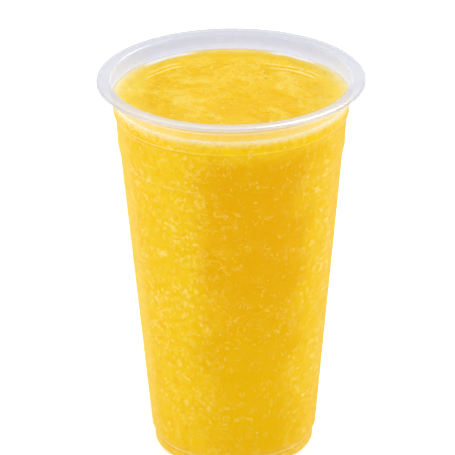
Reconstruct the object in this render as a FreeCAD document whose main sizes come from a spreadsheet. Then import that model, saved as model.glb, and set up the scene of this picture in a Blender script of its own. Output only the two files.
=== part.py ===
"""A clear take-away cup with a flat sealing rim, filled with orange juice almost to the brim.

Two pieces, each turned about the upright axis: the thin plastic cup and the juice inside it.
The origin is the middle of the base, +Z is up and every size is in millimetres.
"""
import FreeCAD, Part
import os

import Sketcher

# Name, value and meaning of each driving size; heights are up from the base, depths down from the rim.
SIZES = (
    ("cup_height", 142.0, "base to the top face of the rim"),
    ("rim_diameter", 95.0, "outside of the turned-down lip"),
    ("foot_diameter", 58.2, "outside of the foot"),
    ("wall", 0.6, "thickness of the side, measured level"),
    ("flange_width", 4.65, "outside of the lip to the outside of the neck"),
    ("flange_thickness", 0.8, "flat part of the rim"),
    ("lip_drop", 1.35, "top face of the rim to the bottom of the lip"),
    ("lip_thickness", 0.8, "level thickness of the lip"),
    ("neck_depth", 12.1, "rim down to the neck shoulder"),
    ("neck_draft", 0.98, "loss of radius down the neck"),
    ("neck_step", 0.85, "loss of radius at the neck shoulder"),
    ("neck_step_drop", 2.2, "height of the neck shoulder"),
    ("band_height", 9.9, "stacking band between the two shoulders"),
    ("band_draft", 0.55, "loss of radius down the stacking band"),
    ("band_step", 0.8, "loss of radius at the lower shoulder"),
    ("band_step_drop", 3.8, "height of the lower shoulder"),
    ("foot_height", 4.8, "base to the crease above the foot"),
    ("foot_step", 1.1, "gain of radius above the foot"),
    ("foot_step_rise", 2.2, "height of the slope above the foot"),
    ("base_thickness", 0.8, "floor of the cup"),
    ("base_recess", 1.5, "how far the middle of the base is lifted"),
    ("base_recess_run", 2.5, "level run of the slope round the recess"),
    ("base_ring", 5.0, "outside of the foot to the edge of the recess"),
    ("bead_depth", 4.0, "rim down to the bead round the neck"),
    ("bead_radius", 0.3, "section radius of that bead"),
    ("rim_rounding", 0.5, "outer top edge of the rim"),
    ("lip_rounding", 0.2, "both bottom edges of the lip"),
    ("mouth_rounding", 0.8, "inner top edge of the rim"),
    ("neck_rounding", 1.2, "corner of the neck shoulder"),
    ("band_rounding", 3.0, "corner of the lower shoulder"),
    ("foot_rounding", 2.0, "corner above the foot"),
    ("base_rounding", 1.5, "edge of the base"),
    ("juice_depth", 6.4, "rim down to the surface of the juice"),
    ("juice_gap", 0.05, "clearance between the juice and the cup"),
)

# Places that follow from the sizes, as formulas on the sheet's names.
NECK_RADIUS = "(rim_diameter / 2 - flange_width)"
NECK_FOOT_RADIUS = f"({NECK_RADIUS} - neck_draft)"
BAND_RADIUS = f"({NECK_FOOT_RADIUS} - neck_step)"
BAND_FOOT_RADIUS = f"({BAND_RADIUS} - band_draft)"
SIDE_RADIUS = f"({BAND_FOOT_RADIUS} - band_step)"
FOOT_RADIUS = "(foot_diameter / 2)"
SIDE_FOOT_RADIUS = f"({FOOT_RADIUS} + foot_step)"
RECESS_RADIUS = f"({FOOT_RADIUS} - base_ring)"
NECK_FOOT = "(cup_height - neck_depth)"
BAND_TOP = f"({NECK_FOOT} - neck_step_drop)"
BAND_FOOT = f"({BAND_TOP} - band_height)"
SIDE_TOP = f"({BAND_FOOT} - band_step_drop)"
SIDE_FOOT = "(foot_height + foot_step_rise)"
JUICE_LEVEL = "(cup_height - juice_depth)"

SAME_PLACE = 1e-5  # two places nearer than this are one

Item = FreeCAD.DocumentObject
Corner = tuple[str, str]  # the formulas of a corner's radius and height


def fill_sheet(doc: FreeCAD.Document) -> Item:
    """Write the driving sizes into a spreadsheet, one row each, with its name as the alias."""
    sheet = doc.addObject("Spreadsheet::Sheet", "sizes")
    for row, (name, size, meaning) in enumerate(SIZES, start=1):
        sheet.set(f"A{row}", name)
        sheet.set(f"B{row}", str(size))
        sheet.set(f"C{row}", meaning)
        sheet.setAlias(f"B{row}", name)
    doc.recompute()
    return sheet


def on_sheet(formula: str) -> str:
    """Point every size name in a formula at its cell of the sheet."""
    words = formula.replace("(", "( ").replace(")", " )").split()
    names = {name for name, _, _ in SIZES}
    return " ".join(f"sizes.{word}" if word in names else word for word in words)


def value(sheet: Item, formula: str) -> float:
    """Work a formula out with the sizes as they stand."""
    return float(sheet.evalExpression(on_sheet(formula)))


def new_sketch(body: Item, name: str) -> Item:
    """Start a sketch on the body's own upright plane: its x is the radius, its y the height."""
    sketch = body.newObject("Sketcher::SketchObject", name)
    plane = next(item for item in body.Origin.OriginFeatures if item.Role == "XZ_Plane")
    sketch.AttachmentSupport = (plane, [""])
    sketch.MapMode = "FlatFace"
    return sketch


def hold_point(sketch: Item, curve: int, point: int, corner: Corner, place: FreeCAD.Vector) -> None:
    """Hold a point of a curve at its two formulas' distances from the origin, or on the axis at 0."""
    for direction, axis, formula, distance in zip(("DistanceX", "DistanceY"), (-2, -1), corner, place):
        if formula == "0":
            sketch.addConstraint(Sketcher.Constraint("PointOnObject", curve, point, axis))
        else:
            number = sketch.addConstraint(Sketcher.Constraint(direction, -1, 1, curve, point, distance))
            sketch.setExpression(f"Constraints[{number}]", on_sheet(formula))


def draw_outline(sheet: Item, body: Item, name: str, corners: list[Corner]) -> Item:
    """Draw a closed outline of straight runs, each corner held by its radius and its height."""
    sketch = new_sketch(body, name)
    places = [FreeCAD.Vector(value(sheet, radius), value(sheet, height), 0) for radius, height in corners]
    for start, end in zip(places, places[1:] + places[:1]):
        sketch.addGeometry(Part.LineSegment(start, end), False)
    for index, (corner, place) in enumerate(zip(corners, places)):
        before = (index - 1) % len(corners)
        sketch.addConstraint(Sketcher.Constraint("Coincident", before, 2, index, 1))
        hold_point(sketch, index, 1, corner, place)
    return sketch


def turn(body: Item, name: str, sketch: Item) -> None:
    """Turn an outline once round the upright axis."""
    turned = body.newObject("PartDesign::Revolution", name)
    turned.Profile = sketch
    turned.ReferenceAxis = (sketch, ["V_Axis"])
    turned.Angle = 360
    sketch.Document.recompute()


def round_ring(sheet: Item, body: Item, name: str, corner: Corner, radius: str) -> None:
    """Round the edge that one corner of the outline has drawn."""
    reach, height = (value(sheet, formula) for formula in corner)
    base = body.Tip
    edges = []
    for number, edge in enumerate(base.Shape.Edges, start=1):
        ring = edge.Curve
        if not isinstance(ring, Part.Circle):
            continue
        if abs(ring.Radius - reach) < SAME_PLACE and abs(ring.Center.z - height) < SAME_PLACE:
            edges.append(f"Edge{number}")
    if not edges:
        raise ValueError(f"{name}: no ring at radius {reach:.3f}, height {height:.3f}")
    fillet = body.newObject("PartDesign::Fillet", name)
    fillet.Base = (base, edges)
    fillet.setExpression("Radius", on_sheet(radius))
    sheet.Document.recompute()


def side_corners(inset: str) -> list[Corner]:
    """Corners of the side from the foot's crease up to the neck, moved in level by an inset."""
    return [
        (f"{FOOT_RADIUS} - {inset}", "foot_height"),
        (f"{SIDE_FOOT_RADIUS} - {inset}", SIDE_FOOT),
        (f"{SIDE_RADIUS} - {inset}", SIDE_TOP),
        (f"{BAND_FOOT_RADIUS} - {inset}", BAND_FOOT),
        (f"{BAND_RADIUS} - {inset}", BAND_TOP),
        (f"{NECK_FOOT_RADIUS} - {inset}", NECK_FOOT),
    ]


def floor_corners(inset: str, lift: str) -> list[Corner]:
    """Corners of the floor from the axis out to the foot, moved in by an inset and up by a lift."""
    return [
        ("0", f"base_recess + {lift}"),
        (f"{RECESS_RADIUS} - base_recess_run + {lift} / 2", f"base_recess + {lift}"),
        (f"{RECESS_RADIUS} + {lift} / 2", lift),
        (f"{FOOT_RADIUS} - {inset}", lift),
    ]


def round_inside(sheet: Item, body: Item, name: str, inset: str, lift: str) -> None:
    """Round the floor's edge and the three shoulders of a face that lies an inset inside the cup's."""
    rings = (
        ("base", (f"{FOOT_RADIUS} - {inset}", lift), "base_rounding"),
        ("foot", (f"{SIDE_FOOT_RADIUS} - {inset}", SIDE_FOOT), "foot_rounding"),
        ("band", (f"{BAND_FOOT_RADIUS} - {inset}", BAND_FOOT), "band_rounding"),
        ("neck", (f"{NECK_FOOT_RADIUS} - {inset}", NECK_FOOT), "neck_rounding"),
    )
    for place, corner, rounding in rings:
        round_ring(sheet, body, f"{name}_{place}_rounding", corner, f"{rounding} - {inset}")


def make_cup(doc: FreeCAD.Document, sheet: Item) -> Item:
    """The cup: one thin wall from the lifted base to the flat rim with its turned-down lip."""
    body = doc.addObject("PartDesign::Body", "cup")
    rim_radius = "rim_diameter / 2"
    lip_inside = f"{rim_radius} - lip_thickness"
    lip_bottom = "cup_height - lip_drop"
    flange_bottom = "cup_height - flange_thickness"
    outside = [
        ("0", "base_recess"),
        (f"{RECESS_RADIUS} - base_recess_run", "base_recess"),
        (RECESS_RADIUS, "0"),
        (FOOT_RADIUS, "0"),
    ]
    outside += side_corners("0")
    rim = [
        (NECK_RADIUS, flange_bottom),
        (lip_inside, flange_bottom),
        (lip_inside, lip_bottom),
        (rim_radius, lip_bottom),
        (rim_radius, "cup_height"),
        (f"{NECK_RADIUS} - wall", "cup_height"),
    ]
    inside = floor_corners("wall", "base_thickness") + side_corners("wall")
    section = draw_outline(sheet, body, "cup_section", outside + rim + inside[::-1])
    turn(body, "cup_shell", section)
    roundings = (
        ("rim", (rim_radius, "cup_height"), "rim_rounding"),
        ("lip_outside", (rim_radius, lip_bottom), "lip_rounding"),
        ("lip_inside", (lip_inside, lip_bottom), "lip_rounding"),
        ("mouth", (f"{NECK_RADIUS} - wall", "cup_height"), "mouth_rounding"),
        ("base", (FOOT_RADIUS, "0"), "base_rounding"),
        ("foot", (SIDE_FOOT_RADIUS, SIDE_FOOT), "foot_rounding"),
        ("band", (BAND_FOOT_RADIUS, BAND_FOOT), "band_rounding"),
        ("neck", (NECK_FOOT_RADIUS, NECK_FOOT), "neck_rounding"),
    )
    for place, corner, rounding in roundings:
        round_ring(sheet, body, f"{place}_rounding", corner, rounding)
    round_inside(sheet, body, "inner", "wall", "base_thickness")
    add_bead(sheet, body)
    return body


def add_bead(sheet: Item, body: Item) -> None:
    """A fine round bead about the neck, its section centred on the neck's outer face."""
    share = "(bead_depth - flange_thickness) / (neck_depth - flange_thickness)"
    corner = (f"{NECK_RADIUS} - neck_draft * {share}", "cup_height - bead_depth")
    middle = FreeCAD.Vector(value(sheet, corner[0]), value(sheet, corner[1]), 0)
    size = value(sheet, "bead_radius")
    sketch = new_sketch(body, "bead_section")
    sketch.addGeometry(Part.Circle(middle, FreeCAD.Vector(0, 0, 1), size), False)
    number = sketch.addConstraint(Sketcher.Constraint("Radius", 0, size))
    sketch.setExpression(f"Constraints[{number}]", on_sheet("bead_radius"))
    hold_point(sketch, 0, 3, corner, middle)
    turn(body, "neck_bead", sketch)


def make_juice(doc: FreeCAD.Document, sheet: Item) -> Item:
    """The juice: it fills the cup up to its level, a small clearance inside the cup's inner face."""
    body = doc.addObject("PartDesign::Body", "juice")
    inset = "(wall + juice_gap)"
    lift = "(base_thickness + juice_gap)"
    top_radius = f"{NECK_RADIUS} - neck_draft * juice_depth / neck_depth - {inset}"
    top = [(top_radius, JUICE_LEVEL), ("0", JUICE_LEVEL)]
    corners = floor_corners(inset, lift) + side_corners(inset) + top
    section = draw_outline(sheet, body, "juice_section", corners)
    turn(body, "juice_body", section)
    round_inside(sheet, body, "juice", inset, lift)
    return body


def check(doc: FreeCAD.Document, bodies: list[Item]) -> None:
    """Stop if any object of the document has failed or any piece is empty or broken."""
    for item in doc.Objects:
        if {"Invalid", "Error"} & set(item.State):
            raise RuntimeError(f"{item.Name}: {item.State}")
    for body in bodies:
        if body.Shape.isNull() or not body.Shape.isValid() or len(body.Shape.Solids) != 1:
            raise RuntimeError(f"{body.Label}: the shape is empty, broken or not one solid")


def main() -> None:
    """Build both pieces, check them and write one STEP file for each."""
    doc = FreeCAD.newDocument("orange_juice")
    sheet = fill_sheet(doc)
    bodies = [make_cup(doc, sheet), make_juice(doc, sheet)]
    doc.recompute()
    check(doc, bodies)
    os.makedirs("parts", exist_ok=True)
    for body in bodies:
        body.Shape.exportStep(f"parts/{body.Label}.step")
        print(f"{body.Label}: {body.Shape.Volume / 1000:.2f} cm3")


main()
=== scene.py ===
"""Looks for a clear take-away cup filled with pulpy orange juice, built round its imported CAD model.

The cup keeps its CAD shape and gets its plastic. The juice's plain solid is replaced by a fill with a
folded, pulpy surface that reaches just into the cup's wall, and the pulp, froth, film and bubbles that
show on it are pieces of their own. Meshes are in metres in the model's frame, +Z up and the base on the
floor, and finishes measure in millimetres of the object.
"""

import logging
import math
from dataclasses import dataclass, field
from enum import Enum

import bpy
import numpy as np
from mathutils import Euler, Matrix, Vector, noise


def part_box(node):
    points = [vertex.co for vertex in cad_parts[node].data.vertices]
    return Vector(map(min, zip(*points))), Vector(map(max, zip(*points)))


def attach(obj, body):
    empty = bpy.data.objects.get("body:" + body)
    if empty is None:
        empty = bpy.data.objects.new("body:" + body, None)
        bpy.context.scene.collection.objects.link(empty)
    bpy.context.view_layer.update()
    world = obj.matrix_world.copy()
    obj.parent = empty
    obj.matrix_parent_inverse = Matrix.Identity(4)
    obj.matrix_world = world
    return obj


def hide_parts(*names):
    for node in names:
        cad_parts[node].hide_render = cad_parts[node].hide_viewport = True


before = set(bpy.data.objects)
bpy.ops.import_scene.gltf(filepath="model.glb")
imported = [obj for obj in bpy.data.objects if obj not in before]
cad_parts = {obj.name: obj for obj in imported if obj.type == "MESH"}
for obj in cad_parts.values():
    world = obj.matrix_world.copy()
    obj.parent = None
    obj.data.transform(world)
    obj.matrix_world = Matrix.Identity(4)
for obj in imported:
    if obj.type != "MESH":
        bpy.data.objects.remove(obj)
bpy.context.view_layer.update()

LOG = logging.getLogger("orange_juice")
MM = 0.001
ROOT = "root"
FRONT = -math.pi / 2
BACK = math.pi / 2
LEFT = math.pi

Triple = tuple[float, float, float]
Colour = Triple
Span = tuple[float, float]
Faces = list[tuple[int, ...]]
Socket = bpy.types.NodeSocket
Numbers = np.ndarray
Draw = np.random.Generator


# ---------------------------------------------------------------------------------------------------
# The cup's inner wall, read from the frame
# ---------------------------------------------------------------------------------------------------


@dataclass(frozen=True)
class InnerWall:
    """The outline that the juice fills: its radius at each height, and the floor inside the foot."""

    heights: Numbers
    radii: Numbers
    floor: list[Span]
    level: float

    @classmethod
    def of_node(cls, node: str) -> "InnerWall":
        """Read the outline from a turned CAD node.

        Args:
            node: name of the CAD node, a solid turned about the upright axis.

        Returns:
            The outline, with the level at the node's top.
        """
        same_height = 0.02 * MM
        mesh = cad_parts[node].data
        places = np.empty(len(mesh.vertices) * 3)
        mesh.vertices.foreach_get("co", places)
        places = places.reshape(-1, 3)
        rings = np.unique(np.round(np.c_[np.hypot(places[:, 0], places[:, 1]), places[:, 2]], 5), axis=0)
        low = rings[:, 1].min()
        foot_edge = rings[np.abs(rings[:, 1] - low) < same_height][:, 0].max()
        side = {height: radius for radius, height in rings if radius >= foot_edge}
        floor = sorted((radius, height) for radius, height in rings if 0 < radius < foot_edge - MM)
        heights = np.array(sorted(side))
        radii = np.array([side[height] for height in heights])
        return cls(heights, radii, floor, float(heights[-1]))

    @property
    def level_radius(self) -> float:
        """Radius of the wall at the level."""
        return float(self.radius(self.level))

    def radius(self, height: float | Numbers) -> float | Numbers:
        """Radius of the wall at a height, carried straight on above the level."""
        slope = (self.radii[-1] - self.radii[-2]) / (self.heights[-1] - self.heights[-2])
        return np.interp(height, self.heights, self.radii) + np.maximum(height - self.level, 0.0) * slope

    def steps(self) -> list[Span]:
        """Find the steps in the wall above the foot.

        Returns:
            The lower and upper height of each step, from the foot up.
        """
        steep = 0.15
        foot_height = 3.0 * MM
        apart = 1.0 * MM
        slopes = np.diff(self.radii) / np.diff(self.heights)
        stretches = []
        for low, high, slope in zip(self.heights, self.heights[1:], slopes):
            if slope < steep or low < foot_height:
                continue
            if stretches and low - stretches[-1][1] < apart:
                stretches[-1] = (stretches[-1][0], high)
            else:
                stretches.append((low, high))
        return stretches


# ---------------------------------------------------------------------------------------------------
# Helpers for meshes and materials
# ---------------------------------------------------------------------------------------------------


def smooth_step(value: float | Numbers, low: float, high: float) -> float | Numbers:
    """Carry a value smoothly from 0 at a low end to 1 at a high end."""
    share = np.clip((value - low) / (high - low), 0.0, 1.0)
    return share * share * (3.0 - 2.0 * share)


def skin(start: int, rings: int, around: int, first: int, last: int) -> Faces:
    """Join rings of corners into a closed skin.

    Args:
        start: number of the first ring's first corner.
        rings: how many rings follow each other.
        around: how many corners a ring has.
        first: number of the corner at the tip before the first ring.
        last: number of the corner at the tip after the last ring.

    Returns:
        A fan round the first tip, the bands between the rings and a fan round the last tip.
    """
    steps = [(number, (number + 1) % around) for number in range(around)]
    faces = [(first, start + b, start + a) for a, b in steps]
    for ring in range(rings - 1):
        low, high = start + ring * around, start + (ring + 1) * around
        faces += [(low + a, low + b, high + b, high + a) for a, b in steps]
    end = start + (rings - 1) * around
    return faces + [(end + a, end + b, last) for a, b in steps]


def make_piece(name: str, vertices: list | Numbers, faces: Faces, materials: list[bpy.types.Material],
               tones: list[float] | Numbers) -> bpy.types.Object:
    """Make a smooth mesh piece that rides on the object.

    Args:
        name: name of the piece.
        vertices: places of its corners, one row each, in metres.
        faces: corner numbers of each face.
        materials: its materials, the first one used where nothing else is said.
        tones: a number from 0 to 1 for each corner, kept as the attribute "tone".

    Returns:
        The new object.
    """
    mesh = bpy.data.meshes.new(name)
    mesh.from_pydata([tuple(map(float, place)) for place in vertices], [], faces)
    mesh.shade_smooth()
    attribute = mesh.attributes.new("tone", "FLOAT", "POINT")
    attribute.data.foreach_set("value", np.asarray(tones, dtype=np.float32))
    mesh.update()
    piece = bpy.data.objects.new(name, mesh)
    bpy.context.scene.collection.objects.link(piece)
    for material in materials:
        mesh.materials.append(material)
    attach(piece, ROOT)
    return piece


class Nodes:
    """Builds one node tree; every texture in it works in millimetres of the object."""

    def __init__(self, owner: bpy.types.Material | bpy.types.World) -> None:
        """Start with the empty tree of a new material or world.

        Args:
            owner: the material or world.
        """
        owner.use_nodes = True
        self.owner = owner
        self.tree = owner.node_tree
        self.tree.nodes.clear()

    @classmethod
    def of_material(cls, name: str) -> "Nodes":
        """The empty tree of a new material of that name."""
        return cls(bpy.data.materials.new(name))

    def add(self, kind: str, inputs: dict | None = None, **settings: object) -> bpy.types.Node:
        """Add a node.

        Args:
            kind: the node's type, without "ShaderNode".
            inputs: values or sockets by input name or number.
            settings: the node's own settings.

        Returns:
            The new node.
        """
        node = self.tree.nodes.new(f"ShaderNode{kind}")
        for setting, value in settings.items():
            setattr(node, setting, value)
        for key, value in (inputs or {}).items():
            if isinstance(value, bpy.types.NodeSocket):
                self.tree.links.new(value, node.inputs[key])
            elif isinstance(value, tuple) and len(value) == 3 and node.inputs[key].type == "RGBA":
                node.inputs[key].default_value = (*value, 1.0)
            else:
                node.inputs[key].default_value = value
        return node

    def place(self) -> Socket:
        """Place on the object, in millimetres."""
        coordinates = self.add("TexCoord").outputs["Object"]
        return self.stretched(coordinates, (1 / MM,) * 3)

    def tone(self) -> Socket:
        """The tone kept at each corner of the mesh."""
        return self.add("Attribute", attribute_name="tone").outputs["Fac"]

    def stretched(self, place: Socket, factors: Triple) -> Socket:
        """A place with each of its axes scaled."""
        return self.add("VectorMath", {0: place, 1: factors}, operation="MULTIPLY").outputs[0]

    def height(self, place: Socket) -> Socket:
        """Height of a place."""
        return self.add("SeparateXYZ", {0: place}).outputs[2]

    def reach(self, place: Socket) -> Socket:
        """Distance of a place from the upright axis."""
        level = self.stretched(place, (1.0, 1.0, 0.0))
        return self.add("VectorMath", {0: level}, operation="LENGTH").outputs["Value"]

    def facing(self, place: Socket, azimuth: float) -> Socket:
        """Tell how far a place lies towards an azimuth round the axis.

        Args:
            place: place on the object in millimetres.
            azimuth: the azimuth in radians.

        Returns:
            1 at the azimuth, -1 on the far side from it.
        """
        towards = (math.cos(azimuth), math.sin(azimuth), 0.0)
        along = self.add("VectorMath", {0: place, 1: towards}, operation="DOT_PRODUCT").outputs["Value"]
        return self.math("DIVIDE", along, self.reach(place))

    def math(self, operation: str, first: object, second: object = 0.0, third: object = 0.0) -> Socket:
        """The result of an operation on one to three numbers."""
        return self.add("Math", {0: first, 1: second, 2: third}, operation=operation).outputs[0]

    def times(self, *factors: object) -> Socket:
        """Multiply numbers.

        Args:
            factors: the numbers or sockets.

        Returns:
            Their product.
        """
        product = factors[0]
        for factor in factors[1:]:
            product = self.math("MULTIPLY", product, factor)
        return product

    def between(self, value: Socket, low: float, high: float, to_low: float = 0.0,
                to_high: float = 1.0) -> Socket:
        """Carry a value smoothly from one range to another, held at both ends."""
        inputs = {"Value": value, "From Min": low, "From Max": high, "To Min": to_low, "To Max": to_high}
        return self.add("MapRange", inputs, interpolation_type="SMOOTHSTEP").outputs["Result"]

    def line(self, value: Socket, middle: float, width: float) -> Socket:
        """A soft line: 1 where a value is at its middle, 0 from a width away."""
        away = self.math("ABSOLUTE", self.math("SUBTRACT", value, middle))
        return self.between(away, 0.0, width, 1.0, 0.0)

    def noise(self, place: Socket, size: float, detail: float = 3.0, roughness: float = 0.5,
              distortion: float = 0.0) -> Socket:
        """Make cloudy noise.

        Args:
            place: place on the object in millimetres.
            size: size of its features in millimetres.
            detail: how many finer layers it has.
            roughness: how strong each finer layer is.
            distortion: how much it is stirred.

        Returns:
            The noise, about 0.5.
        """
        inputs = {"Vector": place, "Scale": 1.0 / size, "Detail": detail, "Roughness": roughness,
                  "Distortion": distortion}
        return self.add("TexNoise", inputs).outputs["Fac"]

    def uneven(self, place: Socket, size: float, low: float, high: float, *grain: float) -> Socket:
        """Noise of a size, carried between two values; the noise's detail, roughness and so on may follow."""
        return self.between(self.noise(place, size, *grain), 0.3, 0.7, low, high)

    def bump(self, height: Socket, strength: float, distance: float) -> Socket:
        """Bend the surface's direction by a height field.

        Args:
            height: the height field.
            strength: how much of it shows, from 0 to 1.
            distance: what a height of 1 stands for, in metres.

        Returns:
            The direction.
        """
        return self.add("Bump", {"Strength": strength, "Distance": distance, "Height": height}).outputs[0]

    def mix(self, share: object, first: object, second: object) -> Socket:
        """Mix two colours.

        Args:
            share: share of the second colour.
            first: the first colour.
            second: the second colour.

        Returns:
            The mixed colour.
        """
        node = self.add("Mix", data_type="RGBA", clamp_factor=True)
        for socket, value in ((node.inputs[0], share), (node.inputs[6], first), (node.inputs[7], second)):
            if isinstance(value, bpy.types.NodeSocket):
                self.tree.links.new(value, socket)
            else:
                socket.default_value = (*value, 1.0) if isinstance(value, tuple) else value
        return node.outputs[2]

    def blend(self, share: object, first: Socket, second: Socket) -> Socket:
        """Two shaders mixed by a share of the second."""
        return self.add("MixShader", {0: share, 1: first, 2: second}).outputs[0]

    def coat(self, colour: object, roughness: Socket, specular: float, bump: Socket | None = None) -> Socket:
        """Make an opaque coat.

        Args:
            colour: its colour.
            roughness: its roughness.
            specular: its level of reflection.
            bump: the surface's direction, if it isn't plain.

        Returns:
            The shader.
        """
        inputs = {"Base Color": colour, "Roughness": roughness, "Specular IOR Level": specular}
        if bump is not None:
            inputs["Normal"] = bump
        return self.add("BsdfPrincipled", inputs).outputs[0]

    def seen(self) -> Socket:
        """1 for what is seen directly, in gloss or through plastic, and 0 for what only lights."""
        path = self.add("LightPath").outputs
        direct = self.math("MAXIMUM", path["Is Camera Ray"], path["Is Glossy Ray"])
        return self.math("MAXIMUM", direct, path["Is Transmission Ray"])

    def finish(self, shader: Socket, output: str = "OutputMaterial") -> bpy.types.Material | bpy.types.World:
        """Put the last shader on the output.

        Args:
            shader: the last shader.
            output: type of the output, without "ShaderNode".

        Returns:
            The material or world that the tree belongs to.
        """
        self.tree.links.new(shader, self.add(output).inputs["Surface"])
        return self.owner


# ---------------------------------------------------------------------------------------------------
# Finishes
# ---------------------------------------------------------------------------------------------------


@dataclass(frozen=True)
class ClearPlastic:
    """Thin clear plastic: milky where both faces are dry, clear where juice wets the inside. Painted light
    lightens the front rim, and painted shade darkens the dry back wall and the rim's outer corner.

    Spans are in millimetres: "out" is outwards from the neck, "in" is from the rim's outer edge inwards and
    "down" is from the rim's top downwards. Those with "facing" say how far a place faces a side.
    """

    wall: InnerWall
    film: "Film"
    milk: Colour = (0.82, 0.83, 0.90)
    # painted light: a lighter, creamier milk on the front flange, standing in for light bounced off the juice
    front_milk_painted_light: Colour = (0.90, 0.875, 0.86)
    # painted light: a lighter, bluer milk on the outer half of the front rim
    crown_milk_painted_light: Colour = (0.92, 0.93, 0.98)
    # painted shade: a darker, bluer milk on the rim's outer corner
    edge_milk_painted_shade: Colour = (0.60, 0.63, 0.76)
    wet_tint: Colour = (0.99, 0.99, 0.99)
    # painted shade: the dry back wall is darker than the sides, most under the rim and less near the level
    back_tint_painted_shade: Colour = (0.73, 0.74, 0.81)
    low_tint_painted_shade: Colour = (0.82, 0.835, 0.885)
    side_tint: Colour = (0.85, 0.86, 0.89)
    rim_tint: Colour = (0.80, 0.805, 0.845)
    # painted light: the front rim lets a lighter, warmer colour through
    front_tint_painted_light: Colour = (0.94, 0.92, 0.88)
    milk_through: float = 0.7
    dry_haze: float = 0.42
    rim_haze: float = 0.52
    # edge_haze: extra milk for the painted shade line on the rim's outer corner
    edge_haze: float = 0.6
    # crown_haze: extra milk for the painted light on the outer half of the front rim
    crown_haze: float = 0.15
    skirt_haze: float = 0.06
    wet_ior: float = 1.09
    wet_most: float = 0.05
    dry_ior: float = 1.40
    dry_most: float = 0.13
    roughness: float = 0.085
    front_facing: Span = (0.2, 0.8)
    behind_facing: Span = (0.2, 0.85)
    flange_out: Span = (0.9, 1.3)
    hazy_out: Span = (0.7, 1.3)
    skirt_out: Span = (2.0, 3.0)
    crown_in: Span = (3.0, 2.0)
    edge_in: Span = (0.9, 0.3)
    flange_down: Span = (1.2, 0.6)
    edge_down: Span = (0.8, 0.3)
    low_band: float = 5.0
    wet_line: Span = (-0.5, 0.3)
    crown_width: float = 2.2
    crown_fall: float = -0.06
    ripple: float = 0.012

    def make(self) -> bpy.types.Material:
        """Build the material of the cup.

        Returns:
            The material.
        """
        nodes = Nodes.of_material("clear_plastic")
        place = nodes.place()
        dry = self.dry(nodes, place)
        # crown: the outer half of the front rim's top, which gets painted light
        crown = nodes.times(self.front(nodes, place), self.inwards(nodes, place, self.crown_in),
                            self.upwards(nodes, place, self.flange_down))
        edge = self.edge(nodes, place)
        shade = self.shade(nodes, place, crown, edge)
        milk = nodes.blend(self.milk_through, nodes.add("BsdfDiffuse", {"Color": shade}).outputs[0],
                           nodes.add("BsdfTranslucent", {"Color": shade}).outputs[0])
        tint = nodes.mix(dry, self.wet_tint, self.dry_tint(nodes, place))
        clear = nodes.add("BsdfTransparent", {"Color": tint}).outputs[0]
        # the rim's outer corner gets extra milk for its painted shade line
        haze = nodes.math("MAXIMUM", self.haze(nodes, place, dry), nodes.times(edge, self.edge_haze))
        haze = nodes.math("ADD", haze, nodes.times(crown, self.crown_haze))
        bump = self.relief(nodes, place)
        grain = nodes.uneven(place, 1.2, self.roughness * 0.8, self.roughness * 1.3)
        gloss = {"Color": (1.0, 1.0, 1.0), "Roughness": grain, "Normal": bump}
        return nodes.finish(nodes.blend(self.gloss_share(nodes, dry, bump), nodes.blend(haze, clear, milk),
                                        nodes.add("BsdfGlossy", gloss).outputs[0]))

    def front(self, nodes: Nodes, place: Socket) -> Socket:
        """1 on the front of the cup, 0 behind."""
        return nodes.between(nodes.facing(place, FRONT), *self.front_facing)

    def outwards(self, nodes: Nodes, place: Socket, span: Span) -> Socket:
        """Rises from 0 to 1 over a span outwards from the neck."""
        neck = float(self.wall.radius(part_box("cup")[1].z)) / MM
        return nodes.between(nodes.reach(place), neck + span[0], neck + span[1])

    def inwards(self, nodes: Nodes, place: Socket, span: Span) -> Socket:
        """Rises from 0 to 1 over a span that is measured in from the rim's outer edge."""
        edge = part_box("cup")[1].x / MM
        return nodes.between(nodes.reach(place), edge - span[0], edge - span[1])

    def upwards(self, nodes: Nodes, place: Socket, span: Span) -> Socket:
        """Rises from 0 to 1 over a span that is measured down from the rim's top."""
        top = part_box("cup")[1].z / MM
        return nodes.between(nodes.height(place), top - span[0], top - span[1])

    def dry(self, nodes: Nodes, place: Socket) -> Socket:
        """Tell where the inside is dry: above the level, and above the film that clings to the front.

        Args:
            nodes: the material that is being built.
            place: place on the object in millimetres.

        Returns:
            1 where it is dry, 0 where it is wet.
        """
        front = nodes.between(nodes.facing(place, self.film.azimuth), *self.film.rise_facing)
        rise = nodes.math("ADD", self.film.back_climb / MM,
                          nodes.times(front, (self.film.front_climb - self.film.back_climb) / MM))
        line = nodes.math("ADD", self.wall.level / MM, rise)
        return nodes.between(nodes.math("SUBTRACT", nodes.height(place), line), *self.wet_line)

    def edge(self, nodes: Nodes, place: Socket) -> Socket:
        """Find the rim's outer corner, where the plastic is thickest; the deeper line along it is painted
        shade.

        Args:
            nodes: the material that is being built.
            place: place on the object in millimetres.

        Returns:
            1 on the corner and half of that at the front, 0 away from it.
        """
        away = nodes.between(nodes.facing(place, FRONT), 0.3, 0.9, 1.0, 0.5)
        return nodes.times(self.inwards(nodes, place, self.edge_in),
                           self.upwards(nodes, place, self.edge_down), away)

    def shade(self, nodes: Nodes, place: Socket, crown: Socket, edge: Socket) -> Socket:
        """Colour of the milk in the plastic, with painted light on the front flange and on the outer half of
        the front rim, and painted shade on the rim's outer corner.

        Args:
            nodes: the material that is being built.
            place: place on the object in millimetres.
            crown: where the outer half of the rim's top is, at the front.
            edge: where the rim's outer corner is.

        Returns:
            The colour.
        """
        # painted light: the front flange takes the lighter, creamier milk
        flange = nodes.times(self.front(nodes, place), self.outwards(nodes, place, self.flange_out))
        shade = nodes.mix(flange, self.milk, self.front_milk_painted_light)
        # painted light on the outer half of the front rim, painted shade on the rim's outer corner
        return nodes.mix(edge, nodes.mix(crown, shade, self.crown_milk_painted_light), self.edge_milk_painted_shade)

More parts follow.
